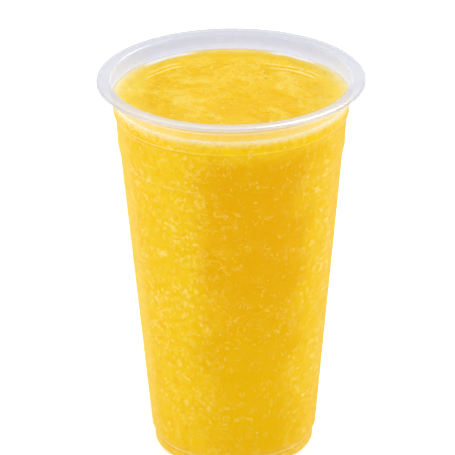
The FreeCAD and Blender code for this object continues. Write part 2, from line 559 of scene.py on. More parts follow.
    def dry_tint(self, nodes: Nodes, place: Socket) -> Socket:
        """Colour that the dry plastic gives to what is behind it, with painted shade that darkens the back
        wall, most under the rim, and painted light that lightens the front rim.

        Args:
            nodes: the material that is being built.
            place: place on the object in millimetres.

        Returns:
            The colour.
        """
        level = self.wall.level / MM
        # painted shade on the back wall, darker away from the level
        low = nodes.between(nodes.height(place), level, level + self.low_band, 1.0, 0.0)
        behind = nodes.between(nodes.facing(place, BACK), *self.behind_facing)
        wall = nodes.mix(behind, self.side_tint, nodes.mix(low, self.back_tint_painted_shade, self.low_tint_painted_shade))
        # painted light on the front rim
        rim = nodes.mix(self.front(nodes, place), self.rim_tint, self.front_tint_painted_light)
        return nodes.mix(self.outwards(nodes, place, self.flange_out), wall, rim)

    def haze(self, nodes: Nodes, place: Socket, dry: Socket) -> Socket:
        """Tell how milky the plastic is from place to place.

        Args:
            nodes: the material that is being built.
            place: place on the object in millimetres.
            dry: where the inside is dry.

        Returns:
            The share of milk, from 0 to 1.
        """
        upper = self.upwards(nodes, place, self.flange_down)
        rim = nodes.times(self.outwards(nodes, place, self.hazy_out), upper)
        skirt = nodes.times(self.outwards(nodes, place, self.skirt_out), nodes.math("SUBTRACT", 1.0, upper))
        wall = nodes.math("SUBTRACT", self.dry_haze, nodes.times(skirt, self.dry_haze - self.skirt_haze))
        haze = nodes.math("MAXIMUM", nodes.times(dry, wall), nodes.times(rim, self.rim_haze))
        return nodes.times(haze, nodes.between(nodes.noise(place, 9.0), 0.2, 0.8, 0.93, 1.07))

    def gloss_share(self, nodes: Nodes, dry: Socket, bump: Socket) -> Socket:
        """Share of gloss: more on dry plastic than on wetted plastic, each with its most.

        Args:
            nodes: the material that is being built.
            dry: where the inside is dry.
            bump: the surface's direction.

        Returns:
            The share, from 0 to 1.
        """
        wet = nodes.math("SUBTRACT", 1.0, dry)
        shares = []
        for where, ior, most in ((dry, self.dry_ior, self.dry_most), (wet, self.wet_ior, self.wet_most)):
            share = nodes.add("Fresnel", {"IOR": ior, "Normal": bump}).outputs[0]
            shares.append(nodes.times(where, nodes.math("MINIMUM", share, most)))
        return nodes.math("ADD", *shares)

    def relief(self, nodes: Nodes, place: Socket) -> Socket:
        """Make the fine unevenness of the moulding, and the crown of the rim towards its outer edge.

        Args:
            nodes: the material that is being built.
            place: place on the object in millimetres.

        Returns:
            The surface's direction.
        """
        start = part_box("cup")[1].x / MM - self.crown_width
        outwards = nodes.math("MAXIMUM", nodes.math("SUBTRACT", nodes.reach(place), start), 0.0)
        crown = nodes.times(nodes.math("POWER", outwards, 2.0), self.crown_fall)
        ripple = nodes.times(nodes.noise(place, 3.5, 2.0), self.ripple)
        return nodes.bump(nodes.math("ADD", crown, ripple), 1.0, MM)


@dataclass(frozen=True)
class JuiceFinish:
    """Opaque pulpy juice: amber and yellow clouds, pale flecks and curls, and froth under the level, with
    painted light and shade on the side and on the open surface.

    Sizes, depths and heights are in millimetres.
    """

    wall: InnerWall
    amber: Colour = (0.82, 0.42, 0.0006)
    low_amber: Colour = (0.84, 0.49, 0.0008)
    deep: Colour = (0.89, 0.525, 0.001)
    yellow: Colour = (0.89, 0.58, 0.012)
    # painted light: a brighter yellow in the top few millimetres under the level, against the shade under the
    # rim
    painted_light_yellow: Colour = (0.94, 0.62, 0.002)
    pale: Colour = (0.94, 0.68, 0.15)
    # painted light: a paler colour on the left flank, as if lit from that side
    flank: Colour = (0.93, 0.755, 0.17)
    froth: Colour = (0.96, 0.86, 0.50)
    open_deep: Colour = (0.85, 0.505, 0.0005)
    open_mid: Colour = (0.865, 0.555, 0.008)
    open_pale: Colour = (0.895, 0.655, 0.10)
    # painted highlight: the palest colour, on the wrinkles' ridges
    ridge_painted_highlight: Colour = (0.98, 0.80, 0.32)
    # painted light: colours that lighten the open surface towards the wall, against the wall's shade
    near_edge_painted_light: Colour = (0.98, 0.69, 0.055)
    side_edge_painted_light: Colour = (0.99, 0.745, 0.10)
    far_edge_painted_light: Colour = (0.99, 0.655, 0.012)
    # painted highlight: the meniscus line at the back corners
    meniscus_painted_highlight: Colour = (0.98, 0.97, 0.92)
    open_rim: Colour = (0.99, 0.88, 0.50)
    # amber_azimuth: the axis through the front along which the side's amber deepens as painted shade
    amber_azimuth: float = math.radians(-78.5)
    amber_depth: Span = (4.0, 13.0)
    amber_height: Span = (20.0, 90.0)
    painted_light_depth: Span = (4.0, 10.0)
    foot_height: Span = (3.0, 10.0)
    pool_size: float = 3.6
    fleck_size: float = 2.0
    cloud_draw: Triple = (1.0, 0.65, 1.0)
    streak_draw: Triple = (1.0, 1.0, 0.25)
    froth_depth: float = 4.2
    streak_depth: float = 5.6
    relief: float = 0.2 * MM
    side_bump: float = 0.25
    open_bump: float = 0.22
    open_specular: float = 0.025

    def side(self) -> bpy.types.Material:
        """Build the material of the juice seen through the wall.

        Returns:
            The material.
        """
        nodes = Nodes.of_material("juice_side")
        place = nodes.place()
        colour = self.cloudy(nodes, place)
        for layer in (self.curled, self.painted_step_lines, self.frothed):
            colour = layer(nodes, place, colour)
        grain = nodes.uneven(place, 2.0, 0.5, 0.7, 2.0)
        bump = nodes.bump(nodes.noise(place, 1.6), self.side_bump, self.relief)
        return nodes.finish(nodes.coat(colour, grain, 0.0, bump))

    def surface(self) -> bpy.types.Material:
        """Build the material of the open surface: wet, with the folds' tone in its colour.

        Returns:
            The material.
        """
        nodes = Nodes.of_material("juice_surface")
        place = nodes.place()
        colour = self.edged(nodes, place, self.folded(nodes, place))
        swells = nodes.times(nodes.noise(place, 2.4, 2.0), 1.5)
        height = nodes.math("ADD", nodes.noise(place, 0.7, 4.0, 0.6), swells)
        grain = nodes.uneven(place, 4.0, 0.25, 0.4)
        bump = nodes.bump(height, self.open_bump, self.relief)
        return nodes.finish(nodes.coat(colour, grain, self.open_specular, bump))

    def depth(self, nodes: Nodes, place: Socket) -> Socket:
        """Depth of a place under the level."""
        return nodes.math("SUBTRACT", self.wall.level / MM, nodes.height(place))

    def folded(self, nodes: Nodes, place: Socket) -> Socket:
        """Colour the open surface by the tone of its folds, with fine pulp in it; the hollows come out
        deeper, partly as painted shade, and the wrinkles' ridges get a painted highlight.

        Args:
            nodes: the material that is being built.
            place: place on the object in millimetres.

        Returns:
            The colour.
        """
        tone = nodes.tone()
        fine = nodes.uneven(nodes.stretched(place, (1.0, 1.35, 1.0)), 1.0, -0.28, 0.28, 4.0, 0.65, 0.4)
        share = nodes.math("ADD", tone, fine)
        colour = nodes.mix(nodes.between(share, 0.08, 0.5), self.open_deep, self.open_mid)
        colour = nodes.mix(nodes.between(share, 0.45, 1.0), colour, self.open_pale)
        # painted highlight on the wrinkles' ridges
        return nodes.mix(nodes.between(tone, 0.93, 1.0), colour, self.ridge_painted_highlight)

    def edged(self, nodes: Nodes, place: Socket, colour: Socket) -> Socket:
        """Lighten the open surface towards the wall with painted light against the wall's shade, paler still
        where it thins out, with a painted highlight line of the meniscus at the back corners.

        Args:
            nodes: the material that is being built.
            place: place on the object in millimetres.
            colour: the colour so far.

        Returns:
            The colour with the lighter edge.
        """
        far = nodes.facing(place, BACK)
        reach_in = nodes.math("SUBTRACT", self.wall.level_radius / MM, nodes.reach(place))
        inset = nodes.math("ADD", reach_in, nodes.uneven(place, 3.0, -0.35, 0.35))
        endwise = nodes.between(nodes.math("ABSOLUTE", far), 0.2, 0.75)
        # painted light: the open surface lightens towards the wall
        outer = nodes.mix(endwise, self.side_edge_painted_light, self.near_edge_painted_light)
        outer = nodes.mix(nodes.between(far, 0.3, 1.0), outer, self.far_edge_painted_light)
        colour = nodes.mix(nodes.between(inset, 0.0, 14.0, 0.95, 0.0), colour, outer)
        thin = nodes.math("POWER", nodes.between(inset, -0.5, 6.5, 1.0, 0.0), 2.2)
        thin = nodes.times(thin, nodes.between(far, 0.3, 1.0, 0.95, 0.42))
        colour = nodes.mix(thin, colour, self.open_rim)
        # painted highlight: a near-white line of the meniscus along the wall at the back corners
        pooled = nodes.times(nodes.between(far, 0.6, 0.75), nodes.between(far, 0.9, 0.97, 1.0, 0.0))
        line = nodes.times(nodes.between(reach_in, 1.0, 1.9, 1.0, 0.0), pooled)
        return nodes.mix(line, colour, self.meniscus_painted_highlight)

    def cloudy(self, nodes: Nodes, place: Socket) -> Socket:
        """Make amber and yellow clouds with soft pale flecks in them; painted shade deepens the amber towards
        the front and back, and painted light lightens the top and the left flank.

        Args:
            nodes: the material that is being built.
            place: place on the object in millimetres.

        Returns:
            The colour.
        """
        drawn = nodes.stretched(place, self.cloud_draw)
        depth = self.depth(nodes, place)
        height = nodes.height(place)
        # painted shade: the amber, the juice's own colour, deepens along the axis through the front and back,
        # so the flanks come out yellower and lighter
        axis = nodes.math("POWER", nodes.math("ABSOLUTE", nodes.facing(place, self.amber_azimuth)), 2.0)
        painted_shade_share = nodes.between(nodes.math("ADD", axis, nodes.uneven(place, 24.0, -0.10, 0.10)), 0.47, 1.02)
        fine = nodes.between(nodes.noise(place, 7.0, 4.0, 0.6, 0.5), 0.35, 0.65, -0.12, 0.12)
        share = nodes.math("ADD", nodes.times(painted_shade_share, nodes.between(depth, *self.amber_depth)), fine)
        # painted light: brighter yellow just under the level
        colour = nodes.mix(nodes.between(depth, *self.painted_light_depth), self.painted_light_yellow, self.yellow)
        pools = nodes.between(nodes.noise(drawn, self.pool_size, 5.0, 0.6, 0.8), 0.47, 0.62, 0.0, 0.75)
        colour = nodes.mix(pools, colour, self.deep)
        # the amber is a little lighter low down
        amber = nodes.mix(nodes.between(height, *self.amber_height), self.low_amber, self.amber)
        colour = nodes.mix(share, colour, amber)
        # painted light: the left flank is paler
        flank = nodes.between(nodes.facing(place, LEFT), 0.84, 1.0, 0.0, 0.35)
        colour = nodes.mix(flank, colour, self.flank)
        flecks = nodes.between(nodes.noise(drawn, self.fleck_size, 5.0, 0.62, 0.7), 0.49, 0.68)
        patches = nodes.between(nodes.noise(place, 9.0, 2.0), 0.35, 0.62, 0.3, 1.0)
        # pale flecks of pulp, more of them away from the painted shade
        paler = nodes.times(flecks, patches, nodes.math("SUBTRACT", 1.1, painted_shade_share))
        # paler towards the foot
        foot = nodes.between(height, *self.foot_height, 0.25, 0.0)
        return nodes.mix(nodes.math("ADD", paler, foot), colour, self.pale)

    def curled(self, nodes: Nodes, place: Socket, colour: Socket) -> Socket:
        """Lay small broken rings, the walls of burst pulp sacs.

        Args:
            nodes: the material that is being built.
            place: place on the object in millimetres.
            colour: the colour so far.

        Returns:
            The colour with the rings on it.
        """
        warp = nodes.add("TexNoise", {"Vector": place, "Scale": 0.35, "Detail": 2.0}).outputs["Color"]
        moved = nodes.add("VectorMath", {0: warp, 1: (2.2, 2.2, 2.2), 2: place},
                          operation="MULTIPLY_ADD").outputs[0]
        cells = nodes.add("TexVoronoi", {"Vector": moved, "Scale": 0.33}, feature="F1")
        ring = nodes.line(cells.outputs["Distance"], 0.3, 0.10)
        kept = nodes.between(nodes.noise(place, 2.2, 2.0), 0.47, 0.6)
        return nodes.mix(nodes.times(ring, kept, 0.42), colour, self.pale)

    def painted_step_lines(self, nodes: Nodes, place: Socket, colour: Socket) -> Socket:
        """Lay a painted highlight line along each of the wall's steps, with a painted shade line under it.

        Args:
            nodes: the material that is being built.
            place: place on the object in millimetres.
            colour: the colour so far.

        Returns:
            The colour with the lines on it.
        """
        height = nodes.height(place)
        uneven = nodes.uneven(place, 6.0, 0.6, 1.0, 2.0)
        steps = self.wall.steps()
        for crease, strength, in_front in ((steps[-1][1], 0.6, 0.25), (steps[-2][0], 0.3, 0.0),
                                           (steps[0][0], 0.5, 0.8)):
            aside = nodes.between(nodes.facing(place, self.amber_azimuth), 0.5, 1.0, 1.0, in_front)
            # painted shade: a deeper amber line under the step
            deeper = nodes.times(nodes.line(height, crease / MM - 0.7, 0.5), aside)
            colour = nodes.mix(nodes.times(deeper, 0.8 * strength), colour, self.amber)
            # painted highlight: a pale line along the step, in the froth colour
            pale = nodes.times(nodes.line(height, crease / MM, 0.4), uneven, aside, strength)
            colour = nodes.mix(pale, colour, self.froth)
        return colour

    def frothed(self, nodes: Nodes, place: Socket, colour: Socket) -> Socket:
        """Hang froth under the level that fades downwards in fine streaks.

        Args:
            nodes: the material that is being built.
            place: place on the object in millimetres.
            colour: the colour so far.

        Returns:
            The colour with the froth on it.
        """
        depth = self.depth(nodes, place)
        drawn = nodes.stretched(place, self.streak_draw)
        streaks = nodes.between(nodes.noise(drawn, 1.5, 4.0, 0.6), 0.40, 0.68, 0.0, 0.42)
        aside = nodes.between(nodes.facing(place, self.amber_azimuth), 0.45, 1.0, 1.0, 0.25)
        hanging = nodes.times(streaks, aside, nodes.between(depth, 2.0, self.streak_depth, 1.0, 0.0))
        ragged = nodes.math("ADD", depth, nodes.uneven(place, 1.2, -0.4, 0.4, 3.0, 0.6))
        band = nodes.math("POWER", nodes.between(ragged, 0.4, self.froth_depth, 1.0, 0.0), 2.0)
        return nodes.mix(nodes.math("MAXIMUM", nodes.times(band, 0.9), hanging), colour, self.froth)


@dataclass(frozen=True)
class PulpFinish:
    """Pulp, froth and film: from deep to light by each one's own tone."""

    name: str
    deep: Colour = (0.87, 0.50, 0.006)
    light: Colour = (0.91, 0.63, 0.06)
    roughness: float = 0.4
    specular: float = 0.0
    mottle: float = 0.15
    relief: float = 0.1 * MM

    def make(self) -> bpy.types.Material:
        """Build the material of one kind of pulp.

        Returns:
            The material.
        """
        nodes = Nodes.of_material(self.name)
        place = nodes.place()
        uneven = nodes.between(nodes.noise(place, 0.8), 0.25, 0.75, -self.mottle, self.mottle)
        colour = nodes.mix(nodes.math("ADD", nodes.tone(), uneven), self.deep, self.light)
        grain = nodes.uneven(place, 0.6, self.roughness * 0.8, self.roughness * 1.2, 2.0)
        bump = nodes.bump(nodes.noise(place, 0.35), 0.3, self.relief)
        return nodes.finish(nodes.coat(colour, grain, self.specular, bump))


@dataclass(frozen=True)
class PaleFloor:
    """Pale studio floor: white to the camera and in reflections, with the object's shadow on it."""

    colour: Colour = (0.88, 0.88, 0.88)
    lift: float = 0.46

    def make(self) -> bpy.types.Material:
        """Build the material of the floor.

        Returns:
            The material.
        """
        nodes = Nodes.of_material("pale_floor")
        matt = nodes.coat(self.colour, nodes.uneven(nodes.place(), 40.0, 0.75, 0.85), 0.0)
        strength = nodes.times(nodes.seen(), self.lift)
        glow = nodes.add("Emission", {"Color": (1.0, 1.0, 1.0), "Strength": strength}).outputs[0]
        return nodes.finish(nodes.add("AddShader", {0: matt, 1: glow}).outputs[0])


# ---------------------------------------------------------------------------------------------------
# The juice
# ---------------------------------------------------------------------------------------------------


@dataclass(frozen=True)
class Film:
    """Juice that clings to the wall above the level: high at the front, low at the back."""

    wall: InnerWall
    azimuth: float = FRONT
    rise_facing: Span = (-0.15, 0.5)
    front_climb: float = 4.3 * MM
    back_climb: float = 0.4 * MM
    ragged_share: float = 0.16
    raggedness: float = 14.0
    # highlight_height, highlight_width: where the painted highlight line runs above the level, and how wide
    # it is
    highlight_height: float = 2.4 * MM
    highlight_width: float = 0.25 * MM
    streak_size: float = 1.6 * MM
    start_depth: float = 0.5 * MM
    thickness: float = 0.3 * MM
    least: float = 0.02 * MM
    bite: float = 0.4 * MM
    around: int = 360
    rows: int = 20

    def climb(self, angle: float) -> float:
        """Tell how high the film stands above the level.

        Args:
            angle: azimuth of the place in radians.

        Returns:
            The height in metres.
        """
        rise = smooth_step(math.cos(angle - self.azimuth), *self.rise_facing)
        around = Vector((math.cos(angle), math.sin(angle), 0.0)) * self.raggedness
        ragged = 1.0 + self.ragged_share * noise.fractal(around, 0.8, 2.0, 3)
        return (self.back_climb + rise * (self.front_climb - self.back_climb)) * ragged

    def tone(self, place: Vector) -> float:
        """Tone of the film: streaky, with a painted highlight line and, at the front, a painted shadow of the
        lip along its top edge; paler towards the back and deeper right at the back.

        Args:
            place: place on the film in metres.

        Returns:
            The tone, 1 where it is palest.
        """
        above = place.z - self.wall.level - self.highlight_height
        streak = noise.fractal(Vector((place.x, place.y, place.z * 0.3)) / self.streak_size, 0.8, 2.0, 3)
        # painted highlight: a pale line along the film
        line = math.exp(-((above / self.highlight_width) ** 2))
        front = -place.y / math.hypot(place.x, place.y)
        # painted shadow of the lip: the film's top edge is deeper at the front
        top = float(smooth_step(above / MM, 0.3, 0.7)) * max(front, 0.0)
        far = float(smooth_step(-front, 0.85, 0.97))
        tone = 0.08 + 0.07 * streak + 0.45 * line + 0.55 * (1.0 - front) - 0.33 * top
        return min(1.0, max(0.0, tone)) - 0.4 * far

    def build(self) -> bpy.types.Object:
        """Build the film as a closed ring that thins out upwards.

        Returns:
            The piece.
        """
        vertices, tones = [], []
        start = self.wall.level - self.start_depth
        shares = np.linspace(0.0, 1.0, self.rows)
        section = [(share, True) for share in shares] + [(share, False) for share in shares[::-1]]
        for angle in np.linspace(0, 2 * math.pi, self.around, endpoint=False):
            top = self.wall.level + self.climb(angle)
            for share, outside in section:
                height = start + (top - start) * share
                thin = self.thickness * (1.0 - share**2) + self.least
                radius = self.wall.radius(height) + (self.bite if outside else -thin)
                place = Vector((radius * math.cos(angle), radius * math.sin(angle), height))
                vertices.append(place)
                tones.append(self.tone(place))
        count = len(section)
        faces = []
        for number in range(self.around):
            low, high = number * count, (number + 1) % self.around * count
            for corner in range(count):
                after = (corner + 1) % count
                faces.append((low + corner, high + corner, high + after, low + after))
        finish = PulpFinish("juice_film", deep=(0.98, 0.665, 0.06), light=(0.99, 0.96, 0.86), roughness=0.3,
                            mottle=0.04)
        return make_piece("juice_film", vertices, faces, [finish.make()], tones)


@dataclass(frozen=True)
class Wrinkle:
    """A raised crease in the surface's skin, along an arc from one azimuth and radius to another."""

    azimuths: Span
    radii: Span
    width: float = 0.55 * MM
    height: float = 0.30 * MM

    def at(self, x: float, y: float) -> float:
        """Tell how strongly the crease shows at a place.

        Args:
            x: place across, in metres.
            y: place away, in metres.

        Returns:
            Up to 1 on its ridge, below 0 in its trough.
        """
        share = (math.degrees(math.atan2(y, x)) - self.azimuths[0]) / (self.azimuths[1] - self.azimuths[0])
        if not 0.0 < share < 1.0:
            return 0.0
        middle = self.radii[0] + share * (self.radii[1] - self.radii[0])
        away = (math.hypot(x, y) - middle) / self.width
        fade = math.sin(math.pi * share) ** 0.6
        return fade * (math.exp(-away**2) - 0.6 * math.exp(-(away + 1.9)**2))


@dataclass
class JuiceFill:
    """The juice: a turned body that bites into the wall, under a folded surface with a raised edge.

    The sizes of the folds, blobs and lumps, and of the swirl that stirs them, are in millimetres.
    """

    wall: InnerWall
    bite: float = 0.4 * MM
    around: int = 400
    surface_rings: int = 140
    row_height: float = 2.0 * MM
    fold_height: float = 0.42 * MM
    climb: float = 0.4 * MM
    climb_width: float = 0.9 * MM
    most_fold_tone: float = 0.92
    fold_size: float = 12.0
    blob_size: float = 5.2
    lump_size: float = 2.2
    swirl_size: float = 15.0
    swirl_reach: float = 8.0
    wrinkles: tuple[Wrinkle, ...] = (
        Wrinkle((155.0, 124.0), (33.9 * MM, 31.4 * MM)),
        Wrinkle((149.0, 121.0), (36.0 * MM, 34.0 * MM), height=0.2 * MM),
        Wrinkle((66.0, 26.0), (30.6 * MM, 35.4 * MM), height=0.2 * MM),
        Wrinkle((65.0, 22.0), (26.9 * MM, 33.2 * MM)),
    )

    def outline(self) -> list[Span]:
        """Follow the body's outline from the middle of the floor up to the level.

        Returns:
            Radius and height of each row.
        """
        corners = list(zip(self.wall.radii + self.bite, self.wall.heights))
        side = [corners[0]]
        for start, end in zip(corners, corners[1:]):
            steps = max(1, round((end[1] - start[1]) / self.row_height))
            side += [tuple(np.add(start, np.multiply(np.subtract(end, start), step / steps)))
                     for step in range(1, steps + 1)]
        return self.wall.floor + side

    def surface_height(self, x: float, y: float) -> tuple[float, float]:
        """Height and tone of the open surface.

        Args:
            x: place across, in metres.
            y: place away, in metres.

        Returns:
            The height above the mean level in metres, and the tone from 0 to 1.
        """
        place = Vector((x / MM, y / MM, 7.3))
        warp = noise.turbulence_vector(place / self.swirl_size, 3, False, noise_basis="PERLIN_ORIGINAL")
        warp *= self.swirl_reach
        swirl = Vector((place.x + warp.x, (place.y + warp.y) * 1.1, place.z))
        folds = noise.fractal(swirl / self.fold_size, 0.9, 2.1, 4)
        blobs = 0.55 - abs(noise.noise(swirl / self.blob_size + Vector((3.1, 8.7, 1.9)))) * 1.9
        lumps = noise.fractal(place / self.lump_size, 0.75, 2.2, 3)
        # the wrinkles' strengths also go into the tone: a painted highlight on the ridges and painted shade
        # in the troughs
        strengths = [wrinkle.at(x, y) for wrinkle in self.wrinkles]
        creases = sum(strength * wrinkle.height for strength, wrinkle in zip(strengths, self.wrinkles))
        edge = max((self.wall.level_radius - math.hypot(x, y)) / self.climb_width, 0.0)
        calm = min(1.0, 0.2 + edge / 3.0)
        height = self.fold_height * (0.7 * folds + 0.45 * blobs + 0.18 * lumps)
        height = height * calm + creases + self.climb * math.exp(-edge**1.4)
        # the tone follows the folds: raised pulp paler, hollows deeper, partly the pulp's own colour and
        # partly painted shade
        tone = 0.42 + 0.50 * folds + 0.26 * blobs + 0.22 * lumps
        # the tone also lightens towards the wall, part of the painted light at the edge
        tone = min(self.most_fold_tone, max(0.0, tone)) + 1.6 * sum(strengths) + 0.2 * math.exp(-edge / 6.0)
        return height, min(1.0, max(0.0, tone))

    def corners(self, rows: list[Span]) -> tuple[list, list[float]]:
        """Place the corners ring by ring: up the side, then inwards over the open surface.

        Args:
            rows: the outline, from the middle of the floor up to the level.

        Returns:
            The corners' places and their tones, with a tip before the first ring and after the last.
        """
        angles = np.linspace(0, 2 * math.pi, self.around, endpoint=False)
        vertices = [(0.0, 0.0, self.wall.floor[0][1])]
        for radius, height in rows[:-1]:
            vertices += [(radius * math.cos(angle), radius * math.sin(angle), height) for angle in angles]
        tones = [0.0] * len(vertices)
        edge_radius, level = rows[-1]
        shares = np.linspace(1.0, 0.0, self.surface_rings + 1)[:-1]
        spots = [(edge_radius * share * math.cos(angle), edge_radius * share * math.sin(angle))
                 for share in shares for angle in angles]
        for x, y in [*spots, (0.0, 0.0)]:
            lift, tone = self.surface_height(x, y)
            vertices.append((x, y, level + lift))
            tones.append(tone)
        return vertices, tones

    def build(self, finish: JuiceFinish) -> bpy.types.Object:
        """Build the fill and dress it.

        Args:
            finish: finish of the juice.

        Returns:
            The piece, which stands for the CAD solid.
        """
        rows = self.outline()
        vertices, tones = self.corners(rows)
        rings = (len(vertices) - 2) // self.around
        faces = skin(1, rings, self.around, 0, len(vertices) - 1)
        piece = make_piece("juice_fill", vertices, faces, [finish.side(), finish.surface()], tones)
        side_faces = len(rows) * self.around
        for number, polygon in enumerate(piece.data.polygons):
            polygon.material_index = int(number >= side_faces)
        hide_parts("juice")
        return piece


# ---------------------------------------------------------------------------------------------------
# Pulp, froth and bubbles
# ---------------------------------------------------------------------------------------------------


class Strip(Enum):
    """Kinds of long thin pulp by their shape: how far each bends, and how many places its path has."""

    STRAND = ((-1.1, 1.1), 8)
    CURL = ((2.4, 5.0), 12)


@dataclass(frozen=True)
class Batch:
    """All pulp of one kind: how many there are, and their lengths and half-widths in millimetres."""

    count: int
    lengths: Span
    widths: Span


@dataclass
class Skins:
    """Collects many small closed bodies into one mesh."""

    vertices: list = field(default_factory=list)
    faces: Faces = field(default_factory=list)
    tones: list[float] = field(default_factory=list)

    def piece(self, name: str, finish: PulpFinish) -> bpy.types.Object:
        """The bodies as one piece of that name and finish."""
        return make_piece(name, self.vertices, self.faces, [finish.make()], self.tones)


@dataclass
class Tubes(Skins):
    """Collects tapered flat tubes, each along a path."""

    sides: int = 5

    def add(self, path: Numbers, out: Numbers, width: float, thickness: float, tone: float) -> None:
        """Add one tube, closed by a point at each end.

        Args:
            path: places along the middle, one row each.
            out: direction away from what it lies on at each place.
            width: half of its width at the middle.
            thickness: half of its thickness at the middle.
            tone: its tone from 0 to 1.
        """
        count = len(path)
        across = np.cross(np.gradient(path, axis=0), out)
        across /= np.linalg.norm(across, axis=1)[:, None] + 1e-12
        taper = np.sqrt(np.clip(1.0 - np.linspace(-1, 1, count) ** 4, 0.0, 1.0))
        start = len(self.vertices)
        for number in range(1, count - 1):
            for corner in range(self.sides):
                angle = 2 * math.pi * corner / self.sides
                shift = across[number] * math.cos(angle) * width + out[number] * math.sin(angle) * thickness
                self.vertices.append(path[number] + shift * taper[number])
        self.vertices += [path[0], path[-1]]
        last = len(self.vertices) - 1
        self.faces += skin(start, count - 2, self.sides, last - 1, last)
        self.tones += [tone] * (last + 1 - start)


@dataclass
class Pebbles(Skins):
    """Collects small rounded bodies, each a squashed ball."""

    around: int = 7
    bands: int = 4

    def add(self, middle: Numbers, axes: Numbers, tone: float) -> None:
        """Add one body.

        Args:
            middle: its middle.
            axes: its three half-axes, one row each.
            tone: its tone from 0 to 1.
        """
        start = len(self.vertices)
        self.vertices.append(middle - axes[2])
        for band in range(1, self.bands):
            lift = math.pi * band / self.bands - math.pi / 2
            for number in range(self.around):
                angle = 2 * math.pi * number / self.around
                self.vertices.append(middle + axes[0] * math.cos(lift) * math.cos(angle)
                                     + axes[1] * math.cos(lift) * math.sin(angle) + axes[2] * math.sin(lift))
        self.vertices.append(middle + axes[2])
        last = len(self.vertices) - 1
        self.faces += skin(start + 1, self.bands - 1, self.around, start, last)
        self.tones += [tone] * (last + 1 - start)


@dataclass(frozen=True)
class WallBed:
    """The juice's face at the wall, as a sheet to lay pulp on: across it is an arc, along it is a height."""

    wall: InnerWall
    bite: float
    sparse_azimuth: float
    clump: float = 9.0 * MM
    margin: float = 4.0 * MM
    lowest: float = 2.5 * MM
    top_gap: float = 0.5 * MM
    proud: float = 0.06 * MM

    def spot(self, draw: Draw) -> Span:
        """Draw a spot, more likely inside a clump of pulp than between clumps.

        Args:
            draw: source of the random draws.

        Returns:
            The spot, across and along the sheet.
        """
        while True:
            height = draw.uniform(self.margin, self.wall.level - self.margin)
            across = draw.uniform(0, 2 * math.pi) * float(self.wall.radius(height))
            places, _ = self.lay(np.array([across]), np.array([height]))
            towards = math.cos(across / float(self.wall.radius(height)) - self.sparse_azimuth)
            thinned = 0.22 * max(towards, 0.0) ** 3
            if draw.random() < 0.45 - thinned + 1.6 * noise.noise(Vector(places[0]) / self.clump):
                return across, height

    def drawn_out(self, across: float, along: float) -> float:
        """How much longer pulp lies round the cup at a spot: most on the flanks."""
        return 1.0 / (0.6 + 0.4 * abs(math.sin(across / float(self.wall.radius(along)))))

    def lay(self, across: Numbers, along: Numbers) -> tuple[Numbers, Numbers]:
        """Carry spots of the sheet onto the face.

        Args:
            across: the spots' places across the sheet.
            along: the spots' places along the sheet.

        Returns:
            Places on the face and the directions out of it, one row each.
        """
        along = np.clip(along, self.lowest, self.wall.level - self.top_gap)
        angle = across / self.wall.radius(float(np.mean(along)))
        radius = self.wall.radius(along) + self.bite
        out = np.stack([np.cos(angle), np.sin(angle), np.zeros_like(angle)], axis=-1)
        return np.stack([radius * np.cos(angle), radius * np.sin(angle), along], axis=-1), out


@dataclass(frozen=True)
class OpenBed:
    """The open surface of the juice, as a sheet to lay pulp on: across it is X, along it is Y."""

    fill: JuiceFill
    margin: float = 3.0 * MM
    proud: float = 0.035 * MM

    def spot(self, draw: Draw) -> Span:
        """Draw a spot, clear of the wall.

        Args:
            draw: source of the random draws.

        Returns:
            The spot, across and along the sheet.
        """
        angle = draw.uniform(0, 2 * math.pi)
        reach = math.sqrt(draw.uniform(0, 1)) * (self.fill.wall.level_radius - self.margin)
        return reach * math.cos(angle), reach * math.sin(angle)

    def drawn_out(self, across: float, along: float) -> float:
        """How much longer pulp lies across the surface at a spot: the same everywhere."""
        return 1.0

    def lay(self, across: Numbers, along: Numbers) -> tuple[Numbers, Numbers]:
        """Carry spots of the sheet onto the surface.

        Args:
            across: the spots' places across the sheet.
            along: the spots' places along the sheet.

        Returns:
            Places on the surface and the directions out of it, one row each.
        """
        lifts = [self.fill.surface_height(float(x), float(y))[0] for x, y in zip(across, along)]
        places = np.stack([across, along, self.fill.wall.level + np.array(lifts)], axis=-1)
        return places, np.tile([0.0, 0.0, 1.0], (len(across), 1))


